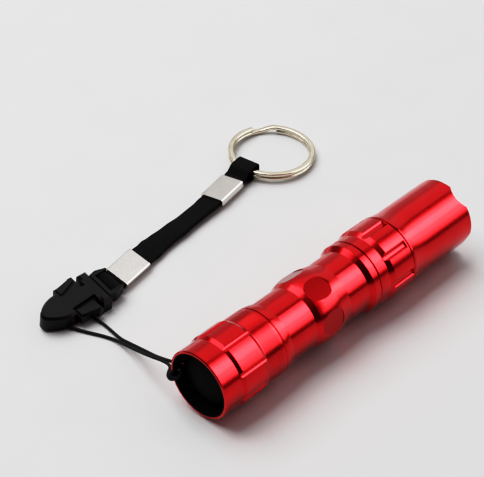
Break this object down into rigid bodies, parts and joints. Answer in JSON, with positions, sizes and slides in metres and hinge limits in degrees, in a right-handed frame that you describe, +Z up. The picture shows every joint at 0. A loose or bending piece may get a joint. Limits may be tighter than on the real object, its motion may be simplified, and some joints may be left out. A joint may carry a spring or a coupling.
{
  "type": "keychain flashlight",
  "caption": "Small turned-metal flashlight for one AA cell, with a screw-on tail, head and bezel, and a cord lanyard with a side-release buckle and split ring.",
  "frame": {"origin": "on the table, under the middle of the flashlight's length and width, the lanyard left out", "axes": "+X along the flashlight from the tail cap to the lens, +Z up from the table, +Y towards the lanyard"},
  "size_m": [0.1072, 0.0816, 0.0208],
  "materials": {
    "red_anodised": "red anodised, satin gloss, fine turning marks",
    "black_rubber": "moulded, matte",
    "seal_rubber": "greased",
    "white_plastic": "moulded",
    "black_plastic": "moulded",
    "buckle_plastic": "moulded, semi-gloss",
    "chip_plastic": "moulded",
    "brass_plain": "turned",
    "spring_steel": "drawn wire",
    "cell_jacket": "plain shrink jacket, bare ends",
    "circuit_board": "solder mask",
    "ferrite": "sintered",
    "wire_jacket": "insulated wire",
    "led_board_metal": "white solder mask on aluminium",
    "led_phosphor": "clear dome over phosphor",
    "reflector_mirror": "metallised",
    "clear_lens": "polished",
    "black_webbing": "woven nylon",
    "black_cord": "braided nylon",
    "crimp_nickel": "bright nickel plate",
    "ring_nickel": "nickel plate"
  },
  "bodies": {
    "tail": {"tail_cap": "red_anodised", "switch_housing": "black_plastic", "switch_retainer": "brass_plain", "tail_spring": "spring_steel", "thin_cord": "black_cord", "buckle_sleeve": "buckle_plastic", "buckle_plug": "buckle_plastic", "webbing": "black_webbing", "lower_crimp": "crimp_nickel", "upper_crimp": "crimp_nickel", "webbing_ring_loop": "black_webbing", "webbing_bar_loop": "black_webbing"},
    "button": {"button_boot": "black_rubber", "switch_plunger": "white_plastic"},
    "tail_seal": {"tail_oring": "seal_rubber"},
    "tube": {"battery_tube": "red_anodised", "battery_cell": "cell_jacket"},
    "head_seal": {"head_oring": "seal_rubber"},
    "head": {"head_body": "red_anodised", "pill": "brass_plain", "driver_board": "circuit_board", "driver_contact": "brass_plain", "driver_inductor": "ferrite", "driver_chip": "chip_plastic", "led_wires": "wire_jacket", "led_board": "led_board_metal", "led_emitter": "led_phosphor"},
    "bezel_seal": {"bezel_oring": "seal_rubber"},
    "bezel": {"bezel": "red_anodised", "lens": "clear_lens", "lens_gasket": "seal_rubber", "reflector": "reflector_mirror"},
    "prong_near": {"prong_near": "buckle_plastic"},
    "prong_far": {"prong_far": "buckle_plastic"},
    "split_ring": {"split_ring": "ring_nickel"}
  },
  "joints": [
    {"name": "button_press", "type": "slide", "parent": "tail", "child": "button", "axis": [1, 0, 0], "range_m": [0, 0.0012], "stiffness_N_per_m": 1500},
    {"name": "tube_travel", "type": "slide", "parent": "tail", "child": "tail_seal", "axis": [1, 0, 0], "range_m": [0, 0.007]},
    {"name": "tube_turn", "type": "hinge", "parent": "tail_seal", "child": "tube", "pos_m": [-0.02615, 0, 0.0104], "axis": [1, 0, 0], "range_deg": [0, 2520.1]},
    {"name": "head_turn", "type": "hinge", "parent": "tube", "child": "head_seal", "pos_m": [0.01105, 0, 0.0104], "axis": [1, 0, 0], "range_deg": [0, 2160.1]},
    {"name": "head_travel", "type": "slide", "parent": "head_seal", "child": "head", "axis": [1, 0, 0], "range_m": [0, 0.006]},
    {"name": "bezel_turn", "type": "hinge", "parent": "head", "child": "bezel_seal", "pos_m": [0.02375, 0, 0.0104], "axis": [1, 0, 0], "range_deg": [0, 1800.1]},
    {"name": "bezel_travel", "type": "slide", "parent": "bezel_seal", "child": "bezel", "axis": [1, 0, 0], "range_m": [0, 0.005]},
    {"name": "prong_near_squeeze", "type": "hinge", "parent": "tail", "child": "prong_near", "pos_m": [-0.03517, 0.04705, 0.00301], "axis": [0.0091, 0.1734, -0.9848], "range_deg": [0, 3.5], "stiffness_Nm_per_rad": 0.02},
    {"name": "prong_far_squeeze", "type": "hinge", "parent": "tail", "child": "prong_far", "pos_m": [-0.03494, 0.05148, 0.00379], "axis": [-0.0091, -0.1734, 0.9848], "range_deg": [0, 3.5], "stiffness_Nm_per_rad": 0.02},
    {"name": "ring_swing", "type": "hinge", "parent": "tail", "child": "split_ring", "pos_m": [0.03027, 0.0588, 0.00215], "axis": [0, -1, 0], "range_deg": [0, 165]}
  ],
  "couplings": [
    {"joint": "tube_turn", "follows": "tube_travel", "rad_per_m": 6283.2},
    {"joint": "head_turn", "follows": "head_travel", "rad_per_m": 6283.2},
    {"joint": "bezel_turn", "follows": "bezel_travel", "rad_per_m": 6283.2},
    {"joint": "prong_far_squeeze", "follows": "prong_near_squeeze", "ratio": 1}
  ]
}
